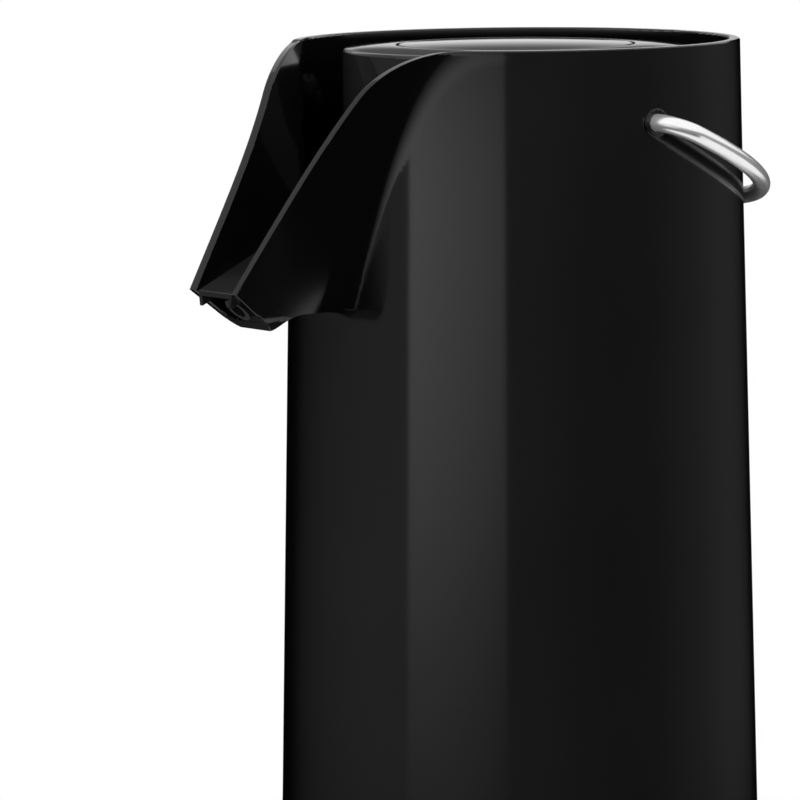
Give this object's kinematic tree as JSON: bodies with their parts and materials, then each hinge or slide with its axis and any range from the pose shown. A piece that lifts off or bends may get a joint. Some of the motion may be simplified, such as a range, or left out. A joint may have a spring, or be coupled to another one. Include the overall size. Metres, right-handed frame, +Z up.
{
  "type": "pump thermal jug",
  "caption": "Tall tapered thermal jug with an open spout beak at the rim, a lift-out air-pump head with a round push button, a glass vacuum flask and a steel rod bail.",
  "frame": {"origin": "centre of the foot pad's underside, on the surface the jug stands on", "axes": "+Z up the jug's axis; +X towards the tip of the beak; the bail turns about the Y direction"},
  "size_m": [0.2193, 0.1882, 0.37],
  "materials": {
    "shell_black": "high gloss black moulding",
    "pump_black": "gloss black moulding",
    "base_black": "fine-grained black moulding",
    "bush_black": "satin black",
    "collar_grey": "satin grey moulding",
    "pipe_natural": "natural satin plastic",
    "foot_rubber": "matt black rubber",
    "cushion_rubber": "dark grey foam rubber",
    "silicone": "pale silicone rubber",
    "bellows_rubber": "dark moulded rubber",
    "flask_glass": "clear blown glass",
    "flask_silver": "silvered glass",
    "bail_steel": "polished stainless rod",
    "zinc_steel": "zinc-plated steel"
  },
  "bodies": {
    "jug": {"outer_shell": "shell_black", "base_cap": "base_black", "base_screws": "zinc_steel", "foot_pad": "foot_rubber", "liner_cushion": "cushion_rubber", "liner_outer_glass": "flask_silver", "liner_inner_glass": "flask_glass", "liner_gasket": "silicone", "shoulder_ring": "collar_grey", "bail_bush_left": "bush_black", "bail_bush_right": "bush_black"},
    "bail": {"bail_handle": "bail_steel", "bail_clips": "zinc_steel"},
    "pump_head": {"pump_cover": "pump_black", "pump_base": "collar_grey", "pump_screws": "zinc_steel", "plug_gasket": "silicone", "bellows_plate": "collar_grey", "air_valve": "silicone", "dip_tube": "pipe_natural", "outlet_pipe": "pipe_natural", "nozzle": "bush_black", "pipe_seal": "silicone", "spout_cover": "pump_black", "bellows": "bellows_rubber", "return_spring": "zinc_steel"},
    "button": {"push_button": "pump_black", "bellows_cap": "collar_grey", "intake_valve": "silicone"},
    "ball": {"tip_ball": "bail_steel"}
  },
  "joints": [
    {"name": "bail_swing", "type": "hinge", "parent": "jug", "child": "bail", "pos_m": [0, 0, 0.344], "axis": [0, 1, 0], "range_deg": [0, 185]},
    {"name": "head_lift", "type": "slide", "parent": "jug", "child": "pump_head", "axis": [0, 0, 1], "range_m": [0, 0.33]},
    {"name": "button_press", "type": "slide", "parent": "pump_head", "child": "button", "axis": [0, 0, -1], "range_m": [0, 0.024], "stiffness_N_per_m": 500, "springref_m": -0.016, "deforming": ["bellows", "return_spring"]},
    {"name": "ball_rise", "type": "slide", "parent": "pump_head", "child": "ball", "axis": [0, 0, 1], "range_m": [0, 0.0033]}
  ]
}
